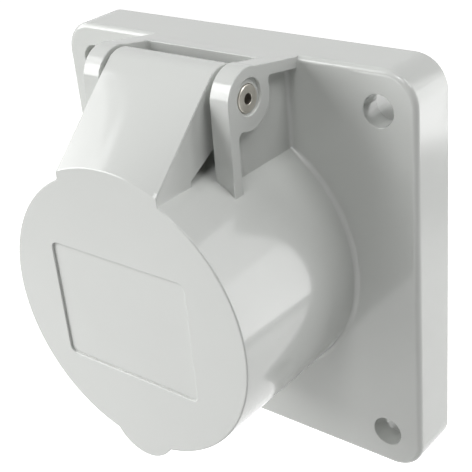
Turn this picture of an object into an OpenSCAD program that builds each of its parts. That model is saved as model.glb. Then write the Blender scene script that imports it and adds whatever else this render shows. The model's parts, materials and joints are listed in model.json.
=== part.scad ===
// Panel-mounted industrial socket with a spring-closed lid.
// Millimetres. The origin is the centre of the flange's back face, +Z is up
// and the lid faces -Y. "Depth" below is measured forward from the back face.

/* [Plug opening] */
// Inside diameter of the barrel, which takes the plug's shroud
bore_d = 43.2; // [40:0.2:48]
// Radial space for the shroud between the contact tower and the barrel
shroud_gap = 4.6; // [4.4:0.1:5.2]
// Width of the keyway in the bottom of the bore
keyway_w = 8; // [5:0.5:10]
// Depth of the keyway
keyway_depth = 0.8; // [0.4:0.1:1.0]

/* [Barrel] */
// Length of the barrel in front of the flange
barrel_length = 22.4; // [20:0.2:30]
// Wall of the rim that enters the lid
rim_wall = 1.6; // [1.4:0.1:2.2]
// Length of the rim in front of the barrel
rim_length = 3; // [2:0.1:3.4]
// Chamfer on the rim's front edge
rim_chamfer = 0.5; // [0.2:0.1:0.6]
// Radius where the barrel meets the flange
base_fillet = 0.9; // [0.4:0.1:1.4]

/* [Flange] */
// Depth of the flange from its back to its front
flange_depth = 9.8; // [9:0.1:14]
// Thickness of the flange's front wall
flange_front_wall = 4; // [3:0.1:5]
// Thickness of the flange's side walls
flange_side_wall = 3; // [2:0.1:4]
// Corner radius of the flange
flange_corner = 5.8; // [4.5:0.1:8]
// Radius along the flange's front edge
flange_edge = 1; // [0.5:0.1:1.4]
// Diameter of the four fixing holes
fixing_hole_d = 5.5; // [4.3:0.1:6.6]
// Distance of a fixing hole from the flange's two nearest sides
fixing_inset = 6.8; // [6.5:0.1:9]
// Outside diameter of the bosses behind the fixing holes
fixing_boss_d = 11; // [10:0.1:12]
// Diameter of the wider bore in the back of those bosses
fixing_relief_d = 8; // [7:0.1:9]

/* [Panel gasket] */
// Width of the gasket ring
gasket_w = 2.6; // [2:0.1:4]
// Thickness of the gasket ring
gasket_t = 3; // [2:0.1:3.5]
// Wall of the lip inside the gasket
gasket_lip = 1.2; // [0.8:0.1:2]
// Space between the gasket and the flange's side wall
gasket_margin = 0.3; // [0.2:0.1:3]

/* [Hinge] */
// Distance of the hinge axis in front of the flange
hinge_forward = 12.4; // [12:0.1:15]
// Height of the hinge axis above the barrel's surface
hinge_rise = 9.2; // [8.8:0.1:12]
// Diameter of the hinge pin
pin_d = 4.5; // [3.5:0.1:5]
// Length by which the pin's ends stay inside the ears' outer faces
pin_short = 0.3; // [0.2:0.1:1]
// Diameter of the centre hole in each end of the pin
pin_centre_d = 1.8; // [1:0.1:2.2]
// Depth of the centre hole
pin_centre_depth = 3; // [1:0.5:5]
// Diameter of the recess round the pin's end
pin_recess_d = 5.9; // [5.4:0.1:6.4]
// Depth of the recess round the pin's end
pin_recess_depth = 0.5; // [0.4:0.1:1.8]
// Height of that recess's centre above the pin's
pin_recess_rise = 0.35; // [0:0.05:0.5]
// Diameter of the ear's boss
boss_d = 10.3; // [9.6:0.1:12]
// Thickness of an ear
ear_t = 3.7; // [3.2:0.1:5]
// Thickness of the web inside an ear
ear_web = 1.6; // [1.2:0.1:2.4]
// Depth of the ear's front leg
leg_depth = 2; // [1.6:0.1:3]
// Forward lean of the leg towards the barrel, in degrees
leg_lean = 1.5; // [0:0.5:3]
// Thickness of the ear's top arm
arm_t = 2; // [1.6:0.1:3]
// Slope of the arm, in degrees
arm_slope = 10; // [6:0.5:10.5]
// Radius in the corner between leg and boss
leg_corner = 1; // [0.5:0.1:1.5]
// Radius in the corner between arm and boss
arm_corner = 0.7; // [0.4:0.1:1]
// Reach of the shelf between the ears, in front of the flange
shelf_reach = 5.2; // [3:0.1:6]
// Thickness of the shelf at its front
shelf_t = 3.2; // [2.5:0.1:4]
// Radius in the upright corners beside the ears
ear_fillet = 0.8; // [0.3:0.1:1.2]
// Side space between the lid's neck and the right ear
ear_gap_right = 1.1; // [0.4:0.1:1.5]
// Side space between the lid's neck and the left ear
ear_gap_left = 0.6; // [0.4:0.1:1.5]

/* [Lid] */
// Depth of the lid from its back edge to its face
lid_depth = 7.95; // [7.2:0.05:10]
// Thickness of the lid's face
lid_plate = 1.9; // [1.6:0.1:2.4]
// Wall of the lid's skirt
skirt_wall = 1.5; // [1.2:0.1:2.2]
// Radius of the edge round the lid's face
lid_edge = 0.3; // [0.1:0.1:0.6]
// Width of the label recess
label_w = 29.4; // [20:0.2:32]
// Height of the label recess
label_h = 22; // [14:0.2:24]
// Depth of the label recess
label_depth = 0.4; // [0.2:0.1:1]
// Corner radius of the label recess
label_corner = 1.2; // [0.5:0.1:3]
// Distance of the label recess below the lid's centre
label_drop = 0.5; // [0:0.1:2]
// Distance of the label recess to the left of the lid's centre
label_shift = 0.5; // [0:0.1:1]
// Reach of the finger tab below the disc
tab_reach = 2.6; // [2:0.1:5]
// Radius of the finger tab's outline
tab_r = 7; // [5:0.5:9]
// Thickness of the finger tab
tab_t = 1.5; // [1.2:0.1:2]
// Width of the neck
neck_w = 21.8; // [18:0.2:26]
// Height of the neck's front edge above the disc
neck_rise = 1.2; // [0.5:0.1:2.5]
// Height of the neck's back edge above the barrel
neck_foot = 0.9; // [0.5:0.1:1.5]
// Diameter of the knuckle
knuckle_d = 9.6; // [9:0.1:10.4]
// Wall of the neck
neck_wall = 2; // [1.6:0.1:2.6]
// Width of each knuckle lug that runs on the pin
knuckle_lug = 4.4; // [3:0.1:6]
// Width of the hook that holds the plug
hook_w = 9; // [5:0.5:12]
// Thickness of the hook
hook_t = 1.8; // [1.2:0.1:2]
// Space between the hook and the lid's seal
hook_gap = 0.3; // [0.2:0.1:0.8]
// Length of the hook behind the lid's face
hook_length = 3.6; // [2:0.1:4.4]
// Width of the lid's rubber seal
seal_w = 3; // [2.4:0.1:3.4]

/* [Lid spring] */
// Wire diameter
spring_wire = 0.9; // [0.6:0.05:1]
// Number of turns
spring_turns = 9; // [5:1:9]
// Space between the turns
spring_space = 0.1; // [0.05:0.05:0.3]
// Reach of the leg that bears on the barrel, behind the pin
spring_back_leg = 9.2; // [7:0.1:10]
// Width of the rib in the neck that the other leg bears on
spring_rib_w = 1.5; // [1:0.1:2]
// Height of that rib
spring_rib_h = 1.2; // [0.8:0.1:1.6]

/* [Contact carrier] */
// Height of the tower in front of the barrel's shoulder
tower_proud = 1.8; // [0.5:0.1:2]
// Thickness of the tower's front wall
tower_front = 2; // [1.5:0.1:3]
// Radius round the tower's front edge
tower_edge = 0.8; // [0.3:0.1:1.2]
// Chamfer round the contact holes in the tower
entry_chamfer = 0.8; // [0.3:0.1:1]
// Thickness of the carrier's base
base_t = 3.2; // [2.6:0.1:4]
// Radial width of the shoulder that the carrier seats on
seat_w = 2.5; // [2:0.1:2.6]
// Distance of that shoulder behind the flange's front
seat_back = 1.4; // [1:0.1:2]
// Thickness of the ring between the carrier and the shoulder
carrier_seal_t = 0.8; // [0.5:0.1:1.2]
// Wall behind the carrier's base
carrier_wall = 1.2; // [1:0.1:1.6]
// Wall of the housing's ring round the carrier
guide_wall = 2; // [1.4:0.1:2.4]
// Thickness of the carrier's lugs
lug_t = 2; // [1.4:0.1:2.4]
// Depth of the lugs' seat in front of the flange's back
lug_seat = 3; // [2.6:0.1:3.6]
// Distance of a lug's screw from the carrier's edge
lug_reach = 3.1; // [2.8:0.1:4]
// Radius of a lug's round end
lug_r = 2.6; // [2.2:0.1:3]

/* [Contacts] */
// Radius of the circle that the contacts stand on
contact_circle = 9.5; // [9:0.1:10]
// Pin diameter of the line and neutral contacts
line_pin_d = 5; // [4:0.1:5.4]
// Pin diameter of the earth contact
earth_pin_d = 6; // [5:0.1:6.4]
// Wall of the split sleeves
sleeve_wall = 1.1; // [0.8:0.1:1.3]
// Depth of the sleeves' bores
sleeve_bore = 21; // [16:0.5:24]
// Length of the thick part of the sleeves in front of the collars
sleeve_root = 12; // [8:0.5:13]
// Length of the slits in the sleeves
slit_length = 13; // [8:0.5:14]
// Width of the slits
slit_w = 0.8; // [0.5:0.1:1.2]
// Thickness of the spring rings round the sleeves
clip_t = 0.7; // [0.5:0.1:0.9]
// Width of the spring rings
clip_w = 4; // [3:0.1:6]
// Distance of the spring rings behind the sleeves' ends
clip_back = 2; // [1:0.1:4]
// Gap where a spring ring is open
clip_open = 1.4; // [0.8:0.1:2]
// Thickness of the contacts' collars
collar_t = 2; // [1.5:0.1:3]
// Height of the contacts' collars above the sleeves
collar_h = 0.8; // [0.5:0.1:1]

/* [Terminals] */
// Diameter of the terminals
terminal_d = 9; // [8:0.1:9.4]
// Length of the terminals behind the collars
terminal_length = 15; // [12:0.5:18]
// Diameter of the wire holes
wire_d = 4.2; // [3:0.1:4.6]
// Depth of the wire holes
wire_depth = 10; // [8:0.5:11]
// Distance of the wire screws from the terminals' ends
wire_screw_inset = 5; // [3.8:0.1:6]
// Thread diameter of the wire screws
wire_screw_d = 3.5; // [3:0.1:4]
// Head diameter of the wire screws
wire_head_d = 6.4; // [5:0.1:6.6]
// Head height of the wire screws
wire_head_t = 2.2; // [1.6:0.1:2.4]
// Distance of the wire screws' heads from the terminals
wire_screw_out = 2; // [0.5:0.1:2.4]
// Length of the terminal block behind its front plate
block_length = 15.5; // [14:0.5:20]
// Thickness of the terminal block's front plate
block_plate = 3; // [2:0.1:4]
// Wall of the terminal block
block_wall = 2; // [1.5:0.1:2.4]
// Space round a wire screw's head where it passes that wall
screw_access = 0.4; // [0.2:0.1:0.8]
// Thickness of the walls between the terminals
barrier_t = 1.6; // [1.2:0.1:2]
// Radius at which those walls start
barrier_start = 6.6; // [6:0.1:9]
// Distance of those walls' ends from the terminal block's back
barrier_inset = 1; // [0.5:0.5:3]

/* [Screws] */
// Thread diameter of the centre screw
centre_screw_d = 4; // [3:0.1:4.4]
// Thread length of the centre screw past the terminal block
centre_screw_grip = 9; // [6:0.5:12]
// Head diameter of the centre screw
centre_head_d = 7.2; // [6:0.1:8]
// Head height of the centre screw
centre_head_t = 2.4; // [1.8:0.1:3]
// Thread diameter of the carrier screws
carrier_screw_d = 2.9; // [2.2:0.1:3.2]
// Thread length of the carrier screws past the lugs
carrier_screw_grip = 5.4; // [4:0.1:5.6]
// Head diameter of the carrier screws
carrier_head_d = 5.2; // [4:0.1:5.6]
// Head height of the carrier screws
carrier_head_t = 1.7; // [1.2:0.1:2.2]
// Width of the screwdriver slots
slot_w = 0.9; // [0.6:0.1:1.2]
// Depth of the screwdriver slots
slot_depth = 0.9; // [0.5:0.1:1.1]

/* [Clearances] */
// Seam between the lid's skirt and the barrel
lid_gap = 0.05; // [0.03:0.01:0.2]
// Radial space between the rim and the lid's skirt
skirt_clearance = 0.7; // [0.65:0.05:1]
// Running clearance of the pin in its bores, on the radius
pin_clearance = 0.03; // [0.02:0.01:0.08]
// Space between the lid's seal and the rim when closed
seal_clearance = 0.05; // [0.02:0.01:0.2]
// Space round pieces that are pushed into place
push_clearance = 0.2; // [0.1:0.05:0.3]
// Space round screws and contacts in their holes, on the radius
hole_clearance = 0.05; // [0.03:0.01:0.1]
// Space between the spring's coil and the pin, on the radius
spring_clearance = 0.25; // [0.15:0.05:0.4]
// Space between the spring's rib and the barrel below it
rib_clearance = 0.6; // [0.4:0.1:1]

/* [Hidden] */

$fn = 96;
// Overshoot of a cut past the face it opens
over = 1;
// Overlap that joins two parts of one moulding
sink = 0.5;
// Step of the facets round a small edge, in degrees
edge_step = 15;
// Points in one turn of the spring
coil_steps = 14;
// Sides of the spring's wire
wire_sides = 8;
// Facets in a full turn of the neck's front arc
arc_facets = 240;
// Turn of a spring ring's gap from the nearest slit, in degrees
clip_turn = 45;
// Where the shell over the spring ends behind the pin, in degrees from forward
shell_end = 120;

// Radii, from the bore outward
bore_r = bore_d / 2;
rim_r = bore_r + rim_wall;
skirt_r = rim_r + skirt_clearance;
barrel_r = skirt_r + skirt_wall;
seal_out_r = skirt_r - push_clearance;
seal_in_r = seal_out_r - seal_w;
hook_r = seal_in_r - hook_gap;
tower_r = bore_r - shroud_gap;
base_r = bore_r + seat_w;
seat_r = base_r + push_clearance;
guide_r = seat_r + guide_wall;
lug_screw_r = base_r + lug_reach;
lip_in_r = lug_screw_r + lug_r + 2 * push_clearance;
gasket_in_r = lip_in_r + gasket_lip + push_clearance;
gasket_out_r = gasket_in_r + gasket_w;
flange_half = gasket_out_r + gasket_margin + flange_side_wall;
fixing_at = flange_half - fixing_inset;

// Depths, from the flange's back forward
wall_back = flange_depth - flange_front_wall;
seam = flange_depth + barrel_length;
rim_front = seam + rim_length;
lid_back = seam + lid_gap;
lid_front = lid_back + lid_depth;
lid_inside = lid_front - lid_plate;
seat = flange_depth - seat_back;
base_front = seat - carrier_seal_t;
base_back = base_front - base_t;
tower_top = seam + tower_proud;
block_front = base_back - collar_t;
block_plate_back = block_front - block_plate;
block_back = block_plate_back - block_length;
lug_back = lug_seat - lug_t;

// Hinge
axis_depth = flange_depth + hinge_forward;
axis_up = barrel_r + hinge_rise;
ear_right = neck_w / 2 + ear_gap_right;
ear_left = -neck_w / 2 - ear_gap_left - ear_t;
ear_right_end = ear_right + ear_t;
left_web = ear_left + ear_t - ear_web;
ear_foot = sqrt(pow(barrel_r, 2) - pow(ear_right_end, 2));
shelf_front = flange_depth + shelf_reach;
shelf_top = flange_half + shelf_reach * tan(arm_slope);
pin_bore_r = pin_d / 2 + pin_clearance;
pin_from = ear_left + pin_short;
pin_to = ear_right_end - pin_short;
knuckle_r = knuckle_d / 2;
boss_r = boss_d / 2;

// Lid spring
coil_r = pin_bore_r + spring_clearance + spring_wire / 2;
coil_half = spring_turns * (spring_wire + spring_space) / 2;
coil_room_r = coil_r + spring_wire / 2 + spring_clearance;
coil_room_half = neck_w / 2 - knuckle_lug;
rib_to = seam - spring_rib_w;
rib_top = barrel_r + rib_clearance + spring_rib_h;

// Contacts: name, angle round the axis, pin diameter
contact_angle = [150, 30, -90];
contact_pin_d = [line_pin_d, line_pin_d, earth_pin_d];
sleeve_top = tower_top - tower_front;
function sleeve_bore_r(i) = contact_pin_d[i] / 2 + hole_clearance;
function sleeve_r(i) = sleeve_bore_r(i) + sleeve_wall;
function guide_sleeve_r(i) = sleeve_r(i) + clip_t;
function contact_hole_r(i) = guide_sleeve_r(i) + hole_clearance;
function collar_r(i) = guide_sleeve_r(i) + collar_h;
terminal_r = terminal_d / 2;
terminal_back = block_front - terminal_length;
wire_screw_at = terminal_back + wire_screw_inset;
wire_head_at = contact_circle + terminal_r + wire_screw_out;
block_r = base_r - carrier_wall - push_clearance;

grey = "#d3d5d2";
insert_grey = "#8e9290";
steel = "#b4b3ae";
nickel_brass = "#c9bf9d";
rubber = "#3a3b3c";

// A flat shape seen from the front, from one depth forward to another
module face_on(from, to)
    translate([0, -from, 0]) rotate([90, 0, 0]) linear_extrude(to - from) children();

// A flat shape seen from the side (forward, up), from one X to another
module side_on(from, to)
    translate([to, 0, 0]) rotate([90, 0, -90]) linear_extrude(to - from) children();

// A profile of (radius, depth) turned about the socket's axis
module turned() rotate([90, 0, 0]) rotate_extrude() children();

// A round bar along the socket's axis
module bar(r, from, to) translate([0, -from, 0]) rotate([90, 0, 0]) cylinder(r = r, h = to - from);

// A round ring along the socket's axis
module ring(r_in, r_out, from, to) difference() {
    bar(r_out, from, to);
    bar(r_in, from - over, to + over);
}

// A round bar along X, on the hinge axis
module cross_bar(r, from, to)
    translate([from, -axis_depth, axis_up]) rotate([0, 90, 0]) cylinder(r = r, h = to - from);

module rounded_square(half, corner) {
    square([2 * half, 2 * (half - corner)], center = true);
    square([2 * (half - corner), 2 * half], center = true);
    for (sx = [-1, 1], sy = [-1, 1])
        translate([sx * (half - corner), sy * (half - corner)]) circle(corner);
}

module at_corners(reach) for (sx = [-1, 1], sz = [-1, 1]) translate([sx * reach, 0, sz * reach]) children();

module at_contact(i) rotate([0, -contact_angle[i], 0]) translate([contact_circle, 0, 0]) children();

// What is taken off a square edge to leave it round: the edge is at (0, 0),
// with the material to the left of it and below
module edge_cut(r) polygon([
    for (a = [0:edge_step:90]) [r * (cos(a) - 1), r * (sin(a) - 1)],
    [-r, over], [over, over], [over, -r]]);

// Flange block with a round front edge along its sides and round its corners
module flange_block() {
    corner_at = flange_half - flange_corner;
    difference() {
        face_on(0, flange_depth) rounded_square(flange_half, flange_corner);
        for (turn = [0:90:270]) rotate([0, turn, 0]) {
            side_on(-corner_at, corner_at) translate([flange_depth, flange_half]) edge_cut(flange_edge);
            translate([corner_at, -flange_depth, corner_at]) rotate([90, 0, 0])
                rotate_extrude(angle = 90) translate([flange_corner, 0]) edge_cut(flange_edge);
        }
    }
}

// Hollow behind the flange's front wall
module flange_hollow() face_on(-over, wall_back)
    rounded_square(flange_half - flange_side_wall, flange_corner - flange_side_wall);

// Behind the front wall: the carrier's guide, the gasket's seat and the bosses
// for the fixing screws and the carrier's screws
module flange_rings() {
    ring(seat_r, guide_r, lug_seat, wall_back + sink);
    ring(lip_in_r, flange_half - flange_side_wall + sink, gasket_t, wall_back + sink);
    ring(lip_in_r, lip_in_r + gasket_lip, gasket_t / 2, gasket_t + sink);
    at_corners(fixing_at) bar(fixing_boss_d / 2, 0, wall_back + sink);
    for (side = [-1, 1]) translate([side * lug_screw_r, 0, 0]) bar(lug_r, lug_seat, wall_back + sink);
}

// Barrel and rim with the fillet at the flange
module barrel_body() {
    turned() polygon([
        [0, wall_back], [barrel_r + base_fillet, wall_back],
        for (a = [90:-edge_step:0])
            [barrel_r + base_fillet * (1 - cos(a)), flange_depth + base_fillet * (1 - sin(a))],
        [barrel_r, seam], [rim_r, seam], [rim_r, rim_front - rim_chamfer],
        [rim_r - rim_chamfer, rim_front], [0, rim_front]]);
}

// Outline of an ear from the side
module ear_outline() {
    top_end = flange_half + (axis_depth - flange_depth) * tan(arm_slope);
    translate([axis_depth, axis_up]) circle(boss_r);
    polygon([[flange_depth - sink, 0], [flange_depth - sink, flange_half - sink],
             [flange_depth, flange_half], [axis_depth, top_end],
             [axis_depth + boss_r, axis_up], [axis_depth + boss_r + axis_up * tan(leg_lean), 0]]);
}

// Fills the corner where an edge that runs from a point meets the boss;
// the open side is to the left of the edge (1) or to its right (-1)
module boss_corner(from, angle, open, r) {
    axis = [axis_depth, axis_up];
    along = [cos(angle), sin(angle)];
    away = open * [-sin(angle), cos(angle)];
    start = from + r * away - axis;
    run = -start * along - sqrt(pow(start * along, 2) - start * start + pow(boss_r + r, 2));
    foot = from + run * along;
    inside = foot - sink * away;
    difference() {
        polygon([foot, inside, inside + ((axis - foot) * along) * along, axis, foot + r * away]);
        translate(foot + r * away) circle(r);
    }
}

// What stays at full thickness in an ear: boss, leg and arm
module ear_frame() {
    leg_front = axis_depth + boss_r;
    lean = axis_up * tan(leg_lean);
    arm_from = [flange_depth, flange_half - arm_t];
    translate([axis_depth, axis_up]) circle(boss_r);
    polygon([[leg_front - leg_depth + lean, 0], [leg_front + lean, 0],
             [leg_front, axis_up], [leg_front - leg_depth, axis_up]]);
    boss_corner([leg_front - leg_depth + lean, 0], 90 + leg_lean, 1, leg_corner);
    translate(arm_from) rotate(arm_slope) square([hinge_forward, 2 * arm_t]);
    boss_corner(arm_from, arm_slope, -1, arm_corner);
}

// An ear between two X values, with its thin web from a third
module ear(from, web_from) {
    side_on(web_from, web_from + ear_web) ear_outline();
    side_on(from, from + ear_t) intersection() {
        ear_outline();
        ear_frame();
    }
}

// Shelf between the ears, flush with the tops of their arms
module ear_shelf()
    side_on(left_web, ear_right + ear_web) polygon([
        [flange_depth - sink, shelf_top - shelf_t], [flange_depth - sink, flange_half - sink],
        [flange_depth, flange_half], [shelf_front, shelf_top], [shelf_front, shelf_top - shelf_t]]);

// Fills the upright corner between an ear's side at an X value and a front at a
// depth, between two heights; the open side is to the right (1) or to the left (-1)
module ear_corner(x, open, depth, foot, top) {
    translate([x, -depth, foot]) linear_extrude(top - foot) polygon([
        [-open * sink, sink], [open * ear_fillet, sink],
        for (a = [0:edge_step:90]) [open * ear_fillet * (1 - sin(a)), -ear_fillet * (1 - cos(a))],
        [-open * sink, -ear_fillet]]);
}

module housing() color(grey) difference() {
    union() {
        difference() {
            flange_block();
            flange_hollow();
        }
        flange_rings();
        barrel_body();
        ear(ear_left, left_web);
        ear(ear_right, ear_right);
        ear_shelf();
        ear_corner(left_web, -1, flange_depth, ear_foot, flange_half - arm_t + sink);
        ear_corner(left_web + ear_web, 1, shelf_front, shelf_top - shelf_t, shelf_top);
        ear_corner(ear_right, -1, shelf_front, shelf_top - shelf_t, shelf_top);
        ear_corner(ear_right + ear_web, 1, flange_depth, ear_foot, flange_half - arm_t + sink);
        // The flange's edge stays sharp between the ears
        side_on(ear_left, ear_right_end) translate([flange_depth - flange_edge, flange_half - flange_edge])
            square(flange_edge);
    }
    // Bore for the plug and seat for the carrier
    bar(bore_r, seat - over, rim_front + over);
    bar(seat_r, -over, seat);
    face_on(seat, rim_front + over)
        translate([-keyway_w / 2, -bore_r - keyway_depth]) square([keyway_w, bore_r]);
    // Fixing holes, wider behind the front wall
    at_corners(fixing_at) {
        bar(fixing_hole_d / 2, -over, flange_depth + over);
        bar(fixing_relief_d / 2, -over, wall_back);
    }
    // Holes for the carrier screws
    for (side = [-1, 1]) translate([side * lug_screw_r, 0, 0])
        bar(carrier_screw_d / 2 + hole_clearance, -over, lug_seat + carrier_screw_grip + push_clearance);
    // Hinge bores, and the recess round each end of the pin
    cross_bar(pin_bore_r, ear_left - over, ear_right_end + over);
    translate([0, 0, pin_recess_rise]) {
        cross_bar(pin_recess_d / 2, ear_left - over, ear_left + pin_recess_depth);
        cross_bar(pin_recess_d / 2, ear_right_end - pin_recess_depth, ear_right_end + over);
    }
}

// Lid disc and skirt, turned, with a round front edge
module lid_cup() turned() polygon([
    [0, lid_back], [barrel_r, lid_back], [barrel_r, lid_front - lid_edge],
    for (a = [edge_step:edge_step:90 - edge_step])
        [barrel_r - lid_edge * (1 - cos(a)), lid_front - lid_edge * (1 - sin(a))],
    [barrel_r - lid_edge, lid_front], [0, lid_front]]);

// Neck: a skin drawn from the arc at the lid's face to the knuckle, with its
// back edge just above the barrel
module neck_block() {
    half = neck_w / 2;
    foot_up = sqrt(pow(barrel_r, 2) - pow(half, 2)) + neck_foot;
    hull() {
        face_on(lid_front - lid_plate / 4, lid_front) intersection() {
            circle(barrel_r + neck_rise, $fn = arc_facets);
            translate([-half, foot_up]) square([neck_w, barrel_r]);
        }
        side_on(-half, half) translate([lid_back, foot_up]) square(lid_plate / 4);
        cross_bar(knuckle_r, -half, half);
    }
    face_on(lid_back, lid_front) translate([-half, 0]) square([neck_w, foot_up + neck_foot / 4]);
}

// Space inside the neck for the spring, open below and behind
module neck_hollow() {
    half = neck_w / 2 - neck_wall;
    front_up = sqrt(pow(barrel_r + neck_rise, 2) - pow(neck_w / 2, 2));
    top_angle = atan2(axis_up - front_up, lid_front - axis_depth)
              + asin(knuckle_r / norm([lid_front - axis_depth, axis_up - front_up]));
    function under_skin(d) = front_up + (lid_front - d) * tan(top_angle) - neck_wall / cos(top_angle);
    back = axis_depth + knuckle_r + 2 * sink;
    open = 2 * knuckle_r;
    side_on(-half, half) polygon([
        [back, 0], [lid_inside, 0], [lid_inside, under_skin(lid_inside)], [back, under_skin(back)]]);
    cross_bar(coil_room_r, -coil_room_half, coil_room_half);
    side_on(-coil_room_half, coil_room_half) polygon([
        [axis_depth, axis_up], [axis_depth + open * cos(shell_end), axis_up + open * sin(shell_end)],
        [axis_depth - open, axis_up], [axis_depth - open, 0], [back + sink, 0],
        [back + sink, under_skin(back)], [axis_depth, under_skin(back)]]);
}

// Rib across the neck that takes the spring's front leg
module spring_rib() {
    half = neck_w / 2 - neck_wall + sink;
    side_on(-half, half) translate([rib_to - spring_rib_w, rib_top - spring_rib_h])
        square([spring_rib_w, spring_rib_h]);
}

module finger_tab() face_on(lid_front - tab_t, lid_front) difference() {
    translate([0, tab_r - barrel_r - tab_reach]) circle(tab_r);
    translate([-barrel_r, sink - barrel_r * cos(asin(tab_r / barrel_r))]) square(2 * barrel_r);
}

// Hook on the inside of the lid, over the plug's collar
module plug_hook() face_on(lid_inside - hook_length, lid_inside + sink) intersection() {
    difference() {
        circle(hook_r);
        circle(hook_r - hook_t);
    }
    translate([-hook_w / 2, 0]) square([hook_w, barrel_r]);
}

module lid() color(grey) difference() {
    union() {
        difference() {
            union() {
                difference() {
                    neck_block();
                    neck_hollow();
                }
                lid_cup();
            }
            bar(skirt_r, 0, lid_inside);
        }
        spring_rib();
        finger_tab();
        plug_hook();
    }
    face_on(lid_front - label_depth, lid_front + over) translate([-label_shift, -label_drop]) {
        square([label_w, label_h - 2 * label_corner], center = true);
        square([label_w - 2 * label_corner, label_h], center = true);
        for (sx = [-1, 1], sy = [-1, 1])
            translate([sx * (label_w / 2 - label_corner), sy * (label_h / 2 - label_corner)])
                circle(label_corner);
    }
    cross_bar(pin_bore_r, -neck_w, neck_w);
}

module hinge_pin() color(steel) difference() {
    cross_bar(pin_d / 2, pin_from, pin_to);
    cross_bar(pin_centre_d / 2, pin_to - pin_centre_depth, pin_to + over);
    cross_bar(pin_centre_d / 2, pin_from - over, pin_from + pin_centre_depth);
}

// A round wire swept along points that never run along X, as one closed surface
module wire(points, r, sides) {
    n = len(points);
    function along(i) = points[min(i + 1, n - 1)] - points[max(i - 1, 0)];
    function across(i) = let (v = cross(along(i), [1, 0, 0])) v / norm(v);
    function rib(i) = let (u = along(i) / norm(along(i)), v = across(i), w = cross(u, v))
        [for (k = [0:sides - 1]) points[i] + r * (cos(360 * k / sides) * v + sin(360 * k / sides) * w)];
    polyhedron(
        [for (i = [0:n - 1]) each rib(i)],
        concat([[for (k = [sides - 1:-1:0]) k]],
               [for (i = [0:n - 2], k = [0:sides - 1])
                   [i * sides + k, i * sides + (k + 1) % sides,
                    (i + 1) * sides + (k + 1) % sides, (i + 1) * sides + k]],
               [[for (k = [0:sides - 1]) (n - 1) * sides + k]]));
}

// Angle at which a leg that ends at a point touches the coil, on one of its sides
function touch(leg, side) = atan2(leg[2], leg[1]) + side * acos(coil_r / norm([leg[1], leg[2]]));

// Both legs leave the coil along its tangent, under the pin: one runs down and
// back to the barrel, the other down and forward to the rib in the lid's neck
module lid_spring() color(steel) {
    rest = spring_wire / 2 + spring_space;
    back_leg = [-coil_half, spring_back_leg,
                sqrt(pow(barrel_r, 2) - pow(coil_half, 2)) + rest - axis_up];
    front_leg = [coil_half, axis_depth - rib_to, rib_top + rest - axis_up];
    start = touch(back_leg, -1);
    sweep = 360 * spring_turns + start - touch(front_leg, 1);
    count = spring_turns * coil_steps;
    coil = [for (i = [0:count]) let (a = start - sweep * i / count)
        [coil_half * (2 * i / count - 1), coil_r * cos(a), coil_r * sin(a)]];
    translate([0, -axis_depth, axis_up])
        wire(concat([back_leg, back_leg / 2 + coil[0] / 2], coil,
                    [coil[count] / 2 + front_leg / 2, front_leg]), spring_wire / 2, wire_sides);
}

module lid_seal() color(rubber)
    ring(seal_in_r, seal_out_r, rim_front + seal_clearance, lid_inside);

module panel_gasket() color(rubber) ring(gasket_in_r, gasket_out_r, 0, gasket_t);

module carrier_seal() color(rubber) ring(bore_r + push_clearance, base_r, base_front, seat);

module contact_carrier() color(insert_grey) difference() {
    union() {
        bar(base_r, base_back, base_front);
        bar(bore_r - push_clearance, base_back, seat);
        turned() polygon([
            [0, base_back], [tower_r, base_back], [tower_r, tower_top - tower_edge],
            for (a = [edge_step:edge_step:90 - edge_step])
                [tower_r - tower_edge * (1 - cos(a)), tower_top - tower_edge * (1 - sin(a))],
            [tower_r - tower_edge, tower_top], [0, tower_top]]);
        ring(base_r - carrier_wall, base_r, lug_back, base_back + sink);
        for (side = [-1, 1]) {
            translate([side * lug_screw_r, 0, 0]) bar(lug_r, lug_back, lug_seat);
            face_on(lug_back, lug_seat) translate([side > 0 ? base_r - carrier_wall : -lug_screw_r, -lug_r])
                square([lug_screw_r - base_r + carrier_wall, 2 * lug_r]);
        }
    }
    for (i = [0:2]) at_contact(i) {
        bar(contact_hole_r(i), base_back - over, sleeve_top + hole_clearance);
        bar(sleeve_bore_r(i), sleeve_top - over, tower_top + over);
        rotate([90, 0, 0]) translate([0, 0, tower_top - entry_chamfer])
            cylinder(r1 = sleeve_bore_r(i), r2 = sleeve_bore_r(i) + entry_chamfer + over,
                     h = entry_chamfer + over);
    }
    bar(centre_screw_d / 2 + hole_clearance, base_back - over, base_back + centre_screw_grip + over);
    for (side = [-1, 1]) translate([side * lug_screw_r, 0, 0])
        bar(carrier_screw_d / 2 + 2 * hole_clearance, lug_back - over, lug_seat + over);
}

module terminal_block() color(insert_grey) difference() {
    union() {
        bar(block_r, block_plate_back, block_front);
        ring(block_r - block_wall, block_r, block_back, block_plate_back + sink);
        for (turn = contact_angle) rotate([0, -turn - 180, 0])
            translate([barrier_start, -block_plate_back - sink, -barrier_t / 2])
                cube([block_r - block_wall / 2 - barrier_start, block_length + sink - barrier_inset,
                      barrier_t]);
    }
    for (i = [0:2]) {
        at_contact(i) bar(terminal_r + push_clearance, block_plate_back - over, block_front + over);
        rotate([0, -contact_angle[i], 0]) translate([block_r - block_wall - over, -wire_screw_at, 0])
            rotate([0, 90, 0]) cylinder(d = wire_head_d + 2 * screw_access, h = block_wall + 2 * over);
    }
    bar(centre_screw_d / 2 + 2 * hole_clearance, block_plate_back - over, block_front + over);
}

// A slotted screw along Z: thread down from z = 0, head above it
module slotted_screw(thread_d, length, head_d, head_t) difference() {
    union() {
        translate([0, 0, -length]) cylinder(d = thread_d, h = length);
        cylinder(d = head_d, h = head_t);
    }
    translate([0, 0, head_t]) cube([head_d + over, slot_w, 2 * slot_depth], center = true);
}

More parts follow.
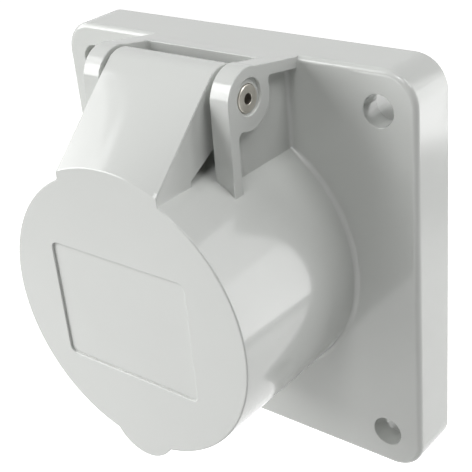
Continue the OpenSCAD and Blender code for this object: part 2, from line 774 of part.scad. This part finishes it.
module terminal_block_screw() color(steel) translate([0, -block_plate_back, 0]) rotate([-90, 0, 0])
    slotted_screw(centre_screw_d, block_plate + collar_t + centre_screw_grip, centre_head_d, centre_head_t);

module carrier_screws() color(steel) for (side = [-1, 1])
    translate([side * lug_screw_r, -lug_back, 0]) rotate([-90, 0, 0])
        slotted_screw(carrier_screw_d, lug_t + carrier_screw_grip, carrier_head_d, carrier_head_t);

module contact(i) color(nickel_brass) at_contact(i) difference() {
    union() {
        bar(sleeve_r(i), base_back, sleeve_top);
        bar(guide_sleeve_r(i), base_back - sink, base_back + sleeve_root);
        bar(collar_r(i), block_front, base_back);
        bar(terminal_r, terminal_back, block_front + sink);
    }
    bar(sleeve_bore_r(i), sleeve_top - sleeve_bore, sleeve_top + over);
    for (turn = [0, 90]) rotate([0, turn, 0])
        translate([0, -sleeve_top - over + (slit_length + over) / 2, 0])
            cube([2 * guide_sleeve_r(i) + over, slit_length + over, slit_w], center = true);
    bar(wire_d / 2, terminal_back - over, terminal_back + wire_depth);
    translate([0, -wire_screw_at, 0]) rotate([0, 90, 0])
        cylinder(d = wire_screw_d + 2 * hole_clearance, h = terminal_d);
}

module line_contact() contact(0);
module neutral_contact() contact(1);
module earth_contact() contact(2);

// Open spring ring round a sleeve
module clip(i) color(steel) at_contact(i) difference() {
    ring(sleeve_r(i), guide_sleeve_r(i), sleeve_top - clip_back - clip_w, sleeve_top - clip_back);
    rotate([0, clip_turn, 0]) translate([0, over - sleeve_top, -clip_open / 2])
        cube([2 * collar_r(i), 2 * clip_back + clip_w, clip_open]);
}

module line_clip() clip(0);
module neutral_clip() clip(1);
module earth_clip() clip(2);

// Wire screw, backed out so that its wire hole is free
module terminal_screw(i) color(steel) rotate([0, -contact_angle[i], 0])
    translate([wire_head_at, -wire_screw_at, 0]) rotate([0, 90, 0])
        slotted_screw(wire_screw_d, wire_screw_out + terminal_r - wire_d / 2, wire_head_d, wire_head_t);

module line_terminal_screw() terminal_screw(0);
module neutral_terminal_screw() terminal_screw(1);
module earth_terminal_screw() terminal_screw(2);

housing();
lid();
hinge_pin();
lid_spring();
lid_seal();
panel_gasket();
contact_carrier();
carrier_seal();
carrier_screws();
terminal_block();
terminal_block_screw();
line_contact();
neutral_contact();
earth_contact();
line_clip();
neutral_clip();
earth_clip();
line_terminal_screw();
neutral_terminal_screw();
earth_terminal_screw();
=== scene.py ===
# %% [markdown]
# # A grey panel socket with a spring lid
#
# The real object is a power socket that is screwed to a panel: a square flange, a round barrel and a lid
# that a spring keeps shut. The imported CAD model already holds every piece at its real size, so this lesson
# changes no size. It rounds the edges of the mouldings, smooths the lid's neck, draws the turned pin and the
# wound spring more finely, gives every piece the finish of its real material and sets up a white studio.

# %% Load the frame
import json
import math

import bmesh
import bpy
import numpy as np
from mathutils import Matrix, Vector


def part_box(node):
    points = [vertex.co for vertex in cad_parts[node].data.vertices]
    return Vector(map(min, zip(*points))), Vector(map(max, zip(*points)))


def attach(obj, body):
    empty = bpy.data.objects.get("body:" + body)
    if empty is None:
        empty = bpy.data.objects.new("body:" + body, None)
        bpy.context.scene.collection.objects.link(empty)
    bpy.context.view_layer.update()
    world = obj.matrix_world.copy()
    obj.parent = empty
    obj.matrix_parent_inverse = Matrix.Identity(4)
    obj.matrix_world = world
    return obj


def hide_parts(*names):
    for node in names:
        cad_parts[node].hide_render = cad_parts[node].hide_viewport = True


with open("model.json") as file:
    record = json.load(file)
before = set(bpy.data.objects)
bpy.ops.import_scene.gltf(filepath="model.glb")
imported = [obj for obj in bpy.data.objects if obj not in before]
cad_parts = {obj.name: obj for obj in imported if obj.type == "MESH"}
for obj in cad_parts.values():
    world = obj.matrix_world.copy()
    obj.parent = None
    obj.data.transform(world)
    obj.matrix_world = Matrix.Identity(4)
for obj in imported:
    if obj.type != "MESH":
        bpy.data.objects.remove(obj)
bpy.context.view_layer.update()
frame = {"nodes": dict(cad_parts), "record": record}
nodes = frame["nodes"]
MM = 0.001

# %% [markdown]
# ## Camera
#
# A camera could be placed by eye, but small errors of direction show at once on a square flange. The eye
# point, the viewing direction, the roll and the focal length were worked out from the corners of the
# flange and the circles of the barrel, so that the pieces fall where the photograph shows them.

# %% Place the camera
EYE_MM = np.array([113.792, -141.637, 91.663])
LOOK = np.array([-0.58157, 0.67055, -0.46058])
ROLL = math.radians(-5.734)
FOCAL_PX = 1074.1
IMAGE_PX = 472
SENSOR_MM = 36
CLIP_MM = 5

level = np.cross(LOOK, (0, 0, 1))
level /= np.linalg.norm(level)
upright = np.cross(level, LOOK)
right = math.cos(ROLL) * level + math.sin(ROLL) * upright
above = math.cos(ROLL) * upright - math.sin(ROLL) * level
pose = np.eye(4)
pose[:3, 0] = right
pose[:3, 1] = above
pose[:3, 2] = -LOOK
pose[:3, 3] = EYE_MM * MM

camera_data = bpy.data.cameras.new("camera")
camera_data.sensor_width = SENSOR_MM
camera_data.lens = FOCAL_PX * SENSOR_MM / IMAGE_PX
camera_data.clip_start = CLIP_MM * MM
camera = bpy.data.objects.new("camera", camera_data)
camera.matrix_world = Matrix(pose.tolist())
bpy.context.scene.collection.objects.link(camera)
bpy.context.scene.camera = camera
print("Lens:", round(camera_data.lens, 2), "mm")

# %% [markdown]
# ## Tools for the materials
#
# A material is a small tree of nodes. Clicking it together by hand is the usual way; in a script, one
# function that adds a node with its settings and links is enough for all of them. Colours are written as
# the hex values that a paint program shows, and turned to the linear light that the renderer reckons in.

# %% Colour and node helpers
def linear(hex_code):
    """Linear colour of an sRGB hex code: c / 12.92 if dark, else ((c + 0.055) / 1.055) to the power 2.4."""
    srgb = np.array([int(hex_code[i:i + 2], 16) for i in (1, 3, 5)]) / 255
    light = np.where(srgb <= 0.04045, srgb / 12.92, ((srgb + 0.055) / 1.055) ** 2.4)
    return (*light.tolist(), 1.0)


def add(tree, kind, inputs=None, **settings):
    """Adds a node, sets its settings, then sets each input to a value or links it to an output socket."""
    node = tree.nodes.new(kind)
    for key, value in settings.items():
        setattr(node, key, value)
    for key, value in (inputs or {}).items():
        if isinstance(value, bpy.types.NodeSocket):
            tree.links.new(value, node.inputs[key])
        else:
            node.inputs[key].default_value = value
    return node


def start_material(name):
    """A new material with an empty tree, and the object coordinates to hang patterns on."""
    material = bpy.data.materials.new(name)
    material.use_nodes = True
    tree = material.node_tree
    tree.nodes.clear()
    where = add(tree, "ShaderNodeTexCoord").outputs["Object"]
    return material, tree, where


def finish_material(tree, inputs):
    """Ends the tree in a principled surface with these inputs."""
    surface = add(tree, "ShaderNodeBsdfPrincipled", inputs)
    add(tree, "ShaderNodeOutputMaterial", {"Surface": surface.outputs["BSDF"]})


def per_mm(size_mm):
    """Scale of a noise whose features are about this many millimetres wide, on coordinates in metres."""
    return 1 / (size_mm * MM)


def noise(tree, where, size_mm, detail, roughness=0.5):
    """Output of a noise with features of this size."""
    node = add(tree, "ShaderNodeTexNoise", {"Vector": where, "Scale": per_mm(size_mm), "Detail": detail,
                                            "Roughness": roughness})
    return node.outputs["Fac"]


def tone_between(tree, share, deep, pale):
    """Colour that goes from deep to pale as the share goes from 0 to 1."""
    node = add(tree, "ShaderNodeMix", {0: share, 6: linear(deep), 7: linear(pale)}, data_type="RGBA")
    return node.outputs[2]


def spread(tree, share, low, high):
    """Stretches the middle of a noise, where most of its values lie, over low to high."""
    node = add(tree, "ShaderNodeMapRange", {"Value": share, "From Min": 0.3, "From Max": 0.7,
                                            "To Min": low, "To Max": high})
    return node.outputs["Result"]


def relief(tree, height, strength, depth_mm):
    """Surface direction of a fine relief with this height pattern."""
    node = add(tree, "ShaderNodeBump", {"Height": height, "Strength": strength, "Distance": depth_mm * MM})
    return node.outputs["Normal"]


print("sRGB #D1D3D0 in linear light:", [round(v, 3) for v in linear("#D1D3D0")])

# %% [markdown]
# ## Light grey polyamide
#
# The housing and the lid are injection moulded in light grey polyamide. The steel mould was polished and
# then lightly etched, so the skin is smooth with a soft gloss: lamps mirror in it with fairly clear edges.
# The melt cools a little unevenly, which leaves very faint clouds of tone, and handling leaves patches of
# slightly different gloss. Noise in object coordinates gives all three without any picture.

# %% Light grey polyamide
def moulded_polyamide(name, pale, deep):
    """Moulded polyamide: clouds of tone between pale and deep, patches of gloss and a fine etched skin."""
    material, tree, where = start_material(name)
    CLOUD_MM = 14
    PATCH_MM = 6
    # The etched grain is about 0.05 mm wide, too fine for the render, so it is drawn at 0.3 mm
    GRAIN_MM = 0.3
    tone = tone_between(tree, noise(tree, where, CLOUD_MM, 3.0), deep, pale)
    gloss = spread(tree, noise(tree, where, PATCH_MM, 4.0), 0.1, 0.15)
    skin = relief(tree, noise(tree, where, GRAIN_MM, 2.0), 0.015, 0.02)
    finish_material(tree, {"Base Color": tone, "Roughness": gloss, "IOR": 1.53, "Normal": skin})
    return material


housing_grey = moulded_polyamide("polyamide_light_grey_moulded", "#D1D3D0", "#CDCFCC")
print("Material:", housing_grey.name)

# %% [markdown]
# ## Mid grey insert
#
# The insert that carries the contacts, and the block behind it, are moulded in a filled, heat-resisting
# plastic. The filler makes it matte, a little mottled and finely speckled. The same kinds of noise do it,
# with more contrast and a rougher surface than the housing has.

# %% Mid grey insert
def filled_polyester(name, pale, deep):
    """Glass-filled polyester: mottled tone between pale and deep, matte, with a fine rough skin."""
    material, tree, where = start_material(name)
    MOTTLE_MM = 1.2
    # Filler grains are about 0.1 mm, drawn at 0.4 mm so that they show
    GRAIN_MM = 0.4
    mottle = noise(tree, where, MOTTLE_MM, 5.0, 0.7)
    tone = tone_between(tree, mottle, deep, pale)
    gloss = spread(tree, mottle, 0.45, 0.6)
    skin = relief(tree, noise(tree, where, GRAIN_MM, 3.0), 0.12, 0.05)
    finish_material(tree, {"Base Color": tone, "Roughness": gloss, "IOR": 1.55, "Normal": skin})
    return material


insert_grey = filled_polyester("polyester_mid_grey_filled", "#989C9A", "#888C8A")
print("Material:", insert_grey.name)

# %% [markdown]
# ## Metals
#
# Four metals are in the socket: a turned stainless pin, drawn spring wire, zinc-plated screws and nickelled
# brass contacts. What tells them apart is colour and the marks of how each was made: rings from the lathe,
# lines along a drawn wire, the cloudy spangle of plating. Rings are a wave of the distance from an axis or
# along it, and a noise bends the wave so that it does not look printed.

# %% Turned and drawn metals
def worked_metal(name, pale, deep, mark_axis, mark_mm, cloud_mm, gloss_from, gloss_to):
    """A bare metal with tool marks this far apart along one axis, bent by noise, over faint clouds."""
    # A wave of scale 1 turns through 20 radians in one metre
    WAVE_TURN = 20
    material, tree, where = start_material(name)
    wave = add(tree, "ShaderNodeTexWave",
               {"Vector": where, "Scale": 2 * math.pi * per_mm(mark_mm) / WAVE_TURN, "Distortion": 1.5,
                "Detail": 3.0, "Detail Scale": 1.0},
               wave_type="BANDS", bands_direction=mark_axis)
    cloud = noise(tree, where, cloud_mm, 4.0)
    tone = tone_between(tree, cloud, deep, pale)
    gloss = spread(tree, cloud, gloss_from, gloss_to)
    marks = relief(tree, wave.outputs["Fac"], 0.1, 0.02)
    finish_material(tree, {"Base Color": tone, "Metallic": 1.0, "Roughness": gloss, "Normal": marks})
    return material


# Turned stainless: warm grey; feed marks of about 0.1 mm are drawn 1.57 mm apart so that they show
pin_steel = worked_metal("stainless_turned", "#D8D4CB", "#C6C2B9", "X", 1.57, 3, 0.3, 0.4)
# Drawn spring wire: cooler and darker, with faint drawing marks
spring_steel = worked_metal("spring_steel_drawn", "#ABABAA", "#8F8F8F", "Y", 1.26, 2, 0.26, 0.38)
# Zinc plate: pale, slightly yellow, with a cloudy spangle of about 1 mm
screw_zinc = worked_metal("steel_zinc_plated", "#C9C6BC", "#AFACA4", "Z", 2.51, 1, 0.3, 0.45)
# Nickelled brass: pale straw, with feed marks along the contact's length
contact_brass = worked_metal("brass_nickelled_turned", "#CDC09B", "#B9AA83", "Y", 1.88, 4, 0.2, 0.3)
print("Metals:", [m.name for m in (pin_steel, spring_steel, screw_zinc, contact_brass)])

# %% [markdown]
# ## Black rubber
#
# The lid seal, the panel gasket and the ring behind the insert are black rubber. Rubber is never quite
# black: a dusty bloom makes it grey in places, and its surface is dull with a fine grain from the mould.

# %% Black rubber
def moulded_rubber(name, bloom, deep):
    """Moulded rubber: dark with patches of pale bloom, dull, with a fine grain."""
    material, tree, where = start_material(name)
    BLOOM_MM = 3
    # The mould's grain is about 0.1 mm, drawn at 0.35 mm
    GRAIN_MM = 0.35
    dust = noise(tree, where, BLOOM_MM, 5.0, 0.65)
    tone = tone_between(tree, dust, deep, bloom)
    gloss = spread(tree, dust, 0.5, 0.7)
    skin = relief(tree, noise(tree, where, GRAIN_MM, 2.0), 0.15, 0.05)
    finish_material(tree, {"Base Color": tone, "Roughness": gloss, "IOR": 1.52, "Normal": skin})
    return material


seal_rubber = moulded_rubber("rubber_black_moulded", "#3A3A3B", "#2A2A2B")
print("Material:", seal_rubber.name)

# %% [markdown]
# ## Mouldings with rounded edges
#
# No moulded edge is sharp: each has a small radius where the two halves of the mould meet or the cutter
# ran, and that radius catches a thin line of light. The CAD solids keep such edges sharp. A copy of the
# solid, with its triangles merged back into whole faces, takes a bevel only on the edges that stick out:
# inner corners stay sharp, and so does the line where the lid meets the barrel, which closes tight.

# %% Moulding copies
EDGE_MM = 0.13
EDGE_STEPS = 2
SHARP = math.radians(35)
FLAT = math.radians(1)
SEAM_MM = 32.2
LID_GAP_MM = 0.05
NEAR_MM = 0.02
MERGE_MM = 0.01


def whole_faces(source):
    """A bmesh of the node's triangles, with near points merged and flat neighbours made one face."""
    shape = bmesh.new()
    shape.from_mesh(source.data)
    bmesh.ops.remove_doubles(shape, verts=shape.verts, dist=MERGE_MM * MM)
    bmesh.ops.dissolve_degenerate(shape, dist=MERGE_MM * MM, edges=shape.edges)
    bmesh.ops.dissolve_limit(shape, angle_limit=FLAT, verts=shape.verts, edges=shape.edges, delimit=set())
    return shape


def takes_radius(edge):
    """True for a sharp outward edge that is not on the lid's seam."""
    if len(edge.link_faces) != 2 or edge.calc_face_angle_signed(0) < SHARP:
        return False
    return not all(abs(v.co.y + SEAM_MM * MM) < (LID_GAP_MM + NEAR_MM) * MM for v in edge.verts)


def moulding(node, body, material, reshape=None):
    """A copy of the node's solid, reshaped if need be, with rounded outward edges, in place of the node."""
    shape = whole_faces(nodes[node])
    if reshape:
        reshape(shape)
    weight = shape.edges.layers.float.new("bevel_weight_edge")
    rounded = [edge for edge in shape.edges if takes_radius(edge)]
    for edge in rounded:
        edge[weight] = 1.0
    mesh = bpy.data.meshes.new(node + "_moulding")
    shape.to_mesh(mesh)
    shape.free()
    for key in ("custom_normal", "sharp_edge", "sharp_face"):
        if key in mesh.attributes:
            mesh.attributes.remove(mesh.attributes[key])
    mesh.shade_smooth()
    mesh.set_sharp_from_angle(angle=SHARP)
    mesh.materials.clear()
    mesh.materials.append(material)
    piece = bpy.data.objects.new(node + "_moulding", mesh)
    bpy.context.scene.collection.objects.link(piece)
    edge = piece.modifiers.new("edge radius", "BEVEL")
    edge.width = EDGE_MM * MM
    edge.segments = EDGE_STEPS
    edge.limit_method = "WEIGHT"
    edge.use_clamp_overlap = False
    edge.miter_outer = "MITER_SHARP"
    smooth = piece.modifiers.new("even shading", "WEIGHTED_NORMAL")
    smooth.keep_sharp = True
    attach(piece, body)
    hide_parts(node)
    print(piece.name, "faces:", len(mesh.polygons), "rounded edges:", len(rounded))
    return piece


moulding("housing", "socket", housing_grey)

# %% [markdown]
# ## The lid
#
# The lid's neck is one smooth skin: every line of it from front to back is straight, from the curved edge
# at the disc to the straight knuckle. The CAD solid is stretched over the same two ends, but its skin is
# a flat middle with two fans of facets. In the copy those faces are dissolved into one, which is cut into
# narrow strips, and each point is set to the height of its straight line.

# %% Lid
AXIS_DEPTH_MM = 22.2
AXIS_UP_MM = 34.6
KNUCKLE_R_MM = 4.8
LID_FRONT_MM = 40.2
LID_R_MM = 25.4
ARC_R_MM = 26.6
SKIN_HALF_MM = 10.9
STRIP_MM = 0.7
ROW_MM = 2.5
CUT_MM = 1e-5
SKIN_UP = 0.5
SKIN_FORWARD = 0.3


def skin_height(x, depth):
    """Height of the straight line from the front arc at this x to where it touches the knuckle."""
    front = np.sqrt(ARC_R_MM ** 2 - x ** 2)
    run = LID_FRONT_MM - AXIS_DEPTH_MM
    rise = AXIS_UP_MM - front
    slope = np.arctan2(rise, run) + np.arcsin(KNUCKLE_R_MM / np.hypot(run, rise))
    touch = AXIS_DEPTH_MM + KNUCKLE_R_MM * np.sin(slope)
    straight = front + (LID_FRONT_MM - depth) * np.tan(slope)
    round_off = AXIS_UP_MM + np.sqrt(np.maximum(KNUCKLE_R_MM ** 2 - (depth - AXIS_DEPTH_MM) ** 2, 0))
    return np.where(depth > touch, straight, round_off)


def is_skin(face):
    """True for an outside face of the neck, between knuckle and lid front, that looks up and forward."""
    _, y, z = face.calc_center_median() / MM
    in_front = AXIS_DEPTH_MM + KNUCKLE_R_MM / 2 < -y < LID_FRONT_MM - NEAR_MM
    faces_out = face.normal.z > SKIN_UP and face.normal.y < -SKIN_FORWARD
    return in_front and z > ARC_R_MM and faces_out


def fair_lid(shape):
    """Rules the neck's skin and brings the back edge of the skirt up to the barrel."""
    skin = [face for face in shape.faces if is_skin(face)]
    count = len(skin)
    skin = bmesh.ops.dissolve_faces(shape, faces=skin, use_verts=True)["region"]
    across = np.arange(-SKIN_HALF_MM + STRIP_MM, SKIN_HALF_MM, STRIP_MM)
    down = np.arange(AXIS_DEPTH_MM + KNUCKLE_R_MM, LID_FRONT_MM, ROW_MM)
    cuts = [((x, 0, 0), (1, 0, 0)) for x in across] + [((0, -d, 0), (0, 1, 0)) for d in down]
    for point, normal in cuts:
        edges = [edge for face in skin for edge in face.edges]
        verts = [vert for face in skin for vert in face.verts]
        part = dict.fromkeys(skin + edges + verts)
        made = bmesh.ops.bisect_plane(shape, geom=list(part), dist=CUT_MM * MM,
                                      plane_co=Vector(point) * MM, plane_no=normal)["geom"]
        skin = [item for item in made if isinstance(item, bmesh.types.BMFace)]
    points = list(dict.fromkeys(vert for face in skin for vert in face.verts))
    place = np.array([vert.co for vert in points]) / MM
    height = skin_height(place[:, 0], -place[:, 1])
    for vert, z in zip(points, height):
        vert.co.z = z * MM
    print("skin faces:", count, "now:", len(skin))
    for vert in shape.verts:
        at_back = abs(vert.co.y / MM + SEAM_MM + LID_GAP_MM) < NEAR_MM
        if at_back and math.hypot(vert.co.x, vert.co.z) / MM > LID_R_MM - NEAR_MM:
            vert.co.y = -SEAM_MM * MM


moulding("lid", "lid", housing_grey, fair_lid)

# %% [markdown]
# ## The hinge pin
#
# The pin is turned from stainless bar: a plain shank with a small chamfer at each end, and a centre hole
# that the lathe's tailstock ran in. A cylinder with a boolean would do, but a turned part is most naturally
# one profile carried round its axis, so the grid is profile points by angle.

# %% Hinge pin
def turned_about_x(profile, axis_y, axis_z, steps):
    """Grid of points: profile (x, radius) carried round an axis along X through (axis_y, axis_z)."""
    turn = np.linspace(0, 2 * math.pi, steps, endpoint=False)
    x = np.repeat(profile[:, :1], steps, axis=1)
    y = axis_y + profile[:, 1:] * np.cos(turn)
    z = axis_z + profile[:, 1:] * np.sin(turn)
    return np.stack([x, y, z], axis=-1)


def grid_piece(name, grid, material):
    """A closed mesh from a grid of rings: quads between rings, each end ring merged to a pole."""
    POLE_MM = 0.001
    rings, steps = grid.shape[:2]
    index = np.arange(rings * steps).reshape(rings, steps)
    after = np.roll(index, -1, axis=1)
    quads = np.stack([index[:-1], after[:-1], after[1:], index[1:]], axis=-1).reshape(-1, 4)
    mesh = bpy.data.meshes.new(name)
    mesh.from_pydata(grid.reshape(-1, 3).tolist(), [], quads.tolist())
    shape = bmesh.new()
    shape.from_mesh(mesh)
    bmesh.ops.remove_doubles(shape, verts=shape.verts, dist=POLE_MM * MM)
    bmesh.ops.recalc_face_normals(shape, faces=shape.faces)
    shape.to_mesh(mesh)
    shape.free()
    mesh.shade_smooth()
    mesh.set_sharp_from_angle(angle=SHARP)
    mesh.materials.append(material)
    piece = bpy.data.objects.new(name, mesh)
    bpy.context.scene.collection.objects.link(piece)
    print(name, "faces:", len(mesh.polygons))
    return piece


PIN_HOLE_R_MM = 0.9
PIN_HOLE_DEPTH_MM = 5
PIN_CHAMFER_MM = 0.08
HOLE_CHAMFER_MM = 0.04
PIN_SIDES = 64
pin_lo, pin_hi = (np.array(corner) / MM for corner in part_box("hinge_pin"))
pin_axis = (pin_lo + pin_hi) / 2
pin_r = (pin_hi[2] - pin_lo[2]) / 2
end = np.array([[PIN_HOLE_DEPTH_MM, 0], [PIN_HOLE_DEPTH_MM, PIN_HOLE_R_MM],
                [HOLE_CHAMFER_MM, PIN_HOLE_R_MM], [0, PIN_HOLE_R_MM + HOLE_CHAMFER_MM],
                [0, pin_r - PIN_CHAMFER_MM], [PIN_CHAMFER_MM, pin_r]])
left_end = end + (pin_lo[0], 0)
right_end = (end * (-1, 1) + (pin_hi[0], 0))[::-1]
pin_grid = turned_about_x(np.vstack([left_end, right_end]), pin_axis[1], pin_axis[2], PIN_SIDES)
pin = grid_piece("hinge_pin_turned", pin_grid * MM, pin_steel)
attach(pin, "socket")
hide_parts("hinge_pin")

# %% [markdown]
# ## The lid spring
#
# A torsion spring wound from round wire sits on the pin inside the lid's neck, with one leg on the barrel
# and one against a rib in the neck. In the CAD it is a coarse tube. Here a circle is carried along the same
# path with many more steps: a straight leg, nine turns, and another leg, both tangent to the coil.

# %% Lid spring
WIRE_MM = 0.9
TURNS = 9
COIL_R_MM = 2.98
COIL_HALF_MM = 4.5
# Leg ends as (x, y, z) from the hinge axis
BACK_LEG_MM = np.array([-COIL_HALF_MM, 9.2, -9.05])
FRONT_LEG_MM = np.array([COIL_HALF_MM, -8.5, -6.85])
STEPS_PER_TURN = 40
LEG_STEPS = 12
WIRE_SIDES = 16


def touch(leg, side):
    """Angle where a line from the leg's end touches the coil: the leg's angle plus or minus acos(r / d)."""
    return math.atan2(leg[2], leg[1]) + side * math.acos(COIL_R_MM / math.hypot(leg[1], leg[2]))


def straight(start, finish):
    """Points on a line from start towards finish, without finish: start + share x (finish - start)."""
    share = np.linspace(0, 1, LEG_STEPS, endpoint=False)[:, None]
    return start + (finish - start) * share


def wire_grid(path, radius):
    """Circle carried along a path: at each point the ring lies across the tangent, set by tangent and X."""
    tangent = np.gradient(path, axis=0)
    tangent /= np.linalg.norm(tangent, axis=1, keepdims=True)
    outward = np.cross(tangent, (1, 0, 0))
    outward /= np.linalg.norm(outward, axis=1, keepdims=True)
    sideways = np.cross(tangent, outward)
    turn = np.linspace(0, 2 * math.pi, WIRE_SIDES, endpoint=False)[:, None]
    ring = outward[:, None] * np.cos(turn) + sideways[:, None] * np.sin(turn)
    tube = path[:, None] + radius * ring
    first = np.repeat(path[:1, None], WIRE_SIDES, axis=1)
    last = np.repeat(path[-1:, None], WIRE_SIDES, axis=1)
    return np.vstack([first, tube, last])


wind_from = touch(BACK_LEG_MM, -1)
wind_to = touch(FRONT_LEG_MM, 1) - 2 * math.pi * TURNS
wind = np.linspace(wind_from, wind_to, TURNS * STEPS_PER_TURN)
coil = np.column_stack([np.linspace(-COIL_HALF_MM, COIL_HALF_MM, len(wind)),
                        COIL_R_MM * np.cos(wind), COIL_R_MM * np.sin(wind)])
spring_path = np.vstack([straight(BACK_LEG_MM, coil[0]), coil, straight(FRONT_LEG_MM, coil[-1])[::-1]])
spring_grid = wire_grid(spring_path + (0, -AXIS_DEPTH_MM, AXIS_UP_MM), WIRE_MM / 2)
spring = grid_piece("lid_spring_wound", spring_grid * MM, spring_steel)
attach(spring, "socket")
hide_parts("lid_spring")

# %% [markdown]
# ## Finishes for the other pieces
#
# The other pieces keep their CAD shape: screws, contacts, clips, the insert and the rubber rings are right
# as they are. Each only gets the material of its real counterpart in its material slot.

# %% Finishes on CAD pieces
finish_of_slot = {"insert_plastic": insert_grey, "pin_steel": pin_steel, "spring_steel": spring_steel,
                  "screw_steel": screw_zinc, "contact_brass": contact_brass, "seal_rubber": seal_rubber,
                  "housing_plastic": housing_grey, "lid_plastic": housing_grey}
for part in frame["record"]["subparts"]:
    nodes[part["node"]].material_slots[0].material = finish_of_slot[part["material_slot"]]

# %% [markdown]
# ## Floor and backdrop
#
# The photograph has a plain white ground and no floor line. The floor lies well below the socket, so that
# its shadow falls outside the picture. To the camera, and in mirror-like reflections, floor and backdrop
# add light of their own up to white; for the soft light that they pass on they are only pale surfaces.

# %% Floor and backdrop
FLOOR_DROP_MM = 250
FLOOR_SPAN_MM = 6000
BRUSH_MM = 60
# Light that the floor adds in reflections; to the camera it adds 1
REFLECTED_GLOW = 0.8


def white_to_the_eye(tree):
    """1 for camera, glossy and transmission rays, else 0: the largest of the three light path flags."""
    path = add(tree, "ShaderNodeLightPath")
    seen = path.outputs["Is Camera Ray"]
    for kind in ("Is Glossy Ray", "Is Transmission Ray"):
        seen = add(tree, "ShaderNodeMath", {0: seen, 1: path.outputs[kind]}, operation="MAXIMUM").outputs[0]
    return seen


span = FLOOR_SPAN_MM / 2 * MM * np.array([[-1, -1], [1, -1], [1, 1], [-1, 1]])
floor_points = np.column_stack([span, np.full(4, -FLOOR_DROP_MM * MM)])
floor_mesh = bpy.data.meshes.new("floor")
floor_mesh.from_pydata(floor_points.tolist(), [], [[0, 1, 2, 3]])
floor = bpy.data.objects.new("floor", floor_mesh)
bpy.context.scene.collection.objects.link(floor)

floor_paint, tree, where = start_material("floor_paint_white")
tint = tone_between(tree, noise(tree, where, BRUSH_MM, 3.0), "#EDEDEC", "#F2F2F1")
paint = add(tree, "ShaderNodeBsdfDiffuse", {"Color": tint})
camera_ray = add(tree, "ShaderNodeLightPath").outputs["Is Camera Ray"]
lift = add(tree, "ShaderNodeMath", {0: camera_ray, 1: 1 - REFLECTED_GLOW, 2: REFLECTED_GLOW},
           operation="MULTIPLY_ADD")
glow = add(tree, "ShaderNodeEmission", {"Strength": lift.outputs[0]})
lifted = add(tree, "ShaderNodeAddShader", {0: paint.outputs[0], 1: glow.outputs[0]})
mixed = add(tree, "ShaderNodeMixShader", {0: white_to_the_eye(tree), 1: paint.outputs[0],
                                          2: lifted.outputs[0]})
add(tree, "ShaderNodeOutputMaterial", {"Surface": mixed.outputs[0]})
floor_mesh.materials.append(floor_paint)

AMBIENT = 0.02
world = bpy.data.worlds.new("backdrop")
world.use_nodes = True
tree = world.node_tree
tree.nodes.clear()
soft = add(tree, "ShaderNodeBackground", {"Strength": AMBIENT})
white = add(tree, "ShaderNodeBackground", {"Strength": 1.0})
mixed = add(tree, "ShaderNodeMixShader", {0: white_to_the_eye(tree), 1: soft.outputs[0],
                                          2: white.outputs[0]})
add(tree, "ShaderNodeOutputWorld", {"Surface": mixed.outputs[0]})
bpy.context.scene.world = world
print("Floor at", -FLOOR_DROP_MM, "mm, ambient strength", AMBIENT)

# %% [markdown]
# ## Lamps
#
# A studio for small parts uses large soft boxes, because their reflections draw the shape of a glossy
# moulding. Each box is given by the direction it stands in, its distance and its size; it faces the
# socket. The strength is the brightness of the box's face, so that size and brightness stay apart.

# %% Lamps
TARGET_MM = np.array([0, -20, 0])


def soft_box(name, azimuth, elevation, distance_mm, width_mm, height_mm, brightness):
    """Rectangular lamp facing the target, with watts = pi x area x brightness.

    Azimuth 0 is in front of the socket and 90 on its right.
    """
    a = math.radians(azimuth)
    e = math.radians(elevation)
    away = Vector((math.sin(a) * math.cos(e), -math.cos(a) * math.cos(e), math.sin(e)))
    data = bpy.data.lights.new(name, "AREA")
    data.shape = "RECTANGLE"
    data.size = width_mm * MM
    data.size_y = height_mm * MM
    data.energy = math.pi * data.size * data.size_y * brightness
    lamp = bpy.data.objects.new(name, data)
    stand = Matrix.Translation(Vector(TARGET_MM * MM) + away * distance_mm * MM)
    lamp.matrix_world = stand @ away.to_track_quat("Z", "Y").to_matrix().to_4x4()
    lamp.visible_camera = False
    bpy.context.scene.collection.objects.link(lamp)
    print(name, round(data.energy, 2), "W")


soft_box("key", -45, 35, 700, 202, 247, 7.6)
soft_box("key_side", -65, 35, 700, 202, 247, 2.9)
soft_box("key_low", -55, 15, 700, 492, 247, 6.3)
soft_box("left", -90, 27.5, 700, 333, 310, 1.9)
soft_box("fill_low", -25, -5, 550, 193, 194, 2.9)
soft_box("top_front", 15, 55, 700, 142, 247, 8.1)
soft_box("top_right", 35, 55, 700, 142, 247, 4.5)
soft_box("top_back", 105, 52.5, 700, 228, 310, 7.2)
soft_box("rear_low", 135, -2.5, 550, 294, 347, 3.1)
soft_box("rear_high", 135, 27.5, 700, 333, 310, 1.9)

# %% Colour view
bpy.context.scene.view_settings.view_transform = "Standard"
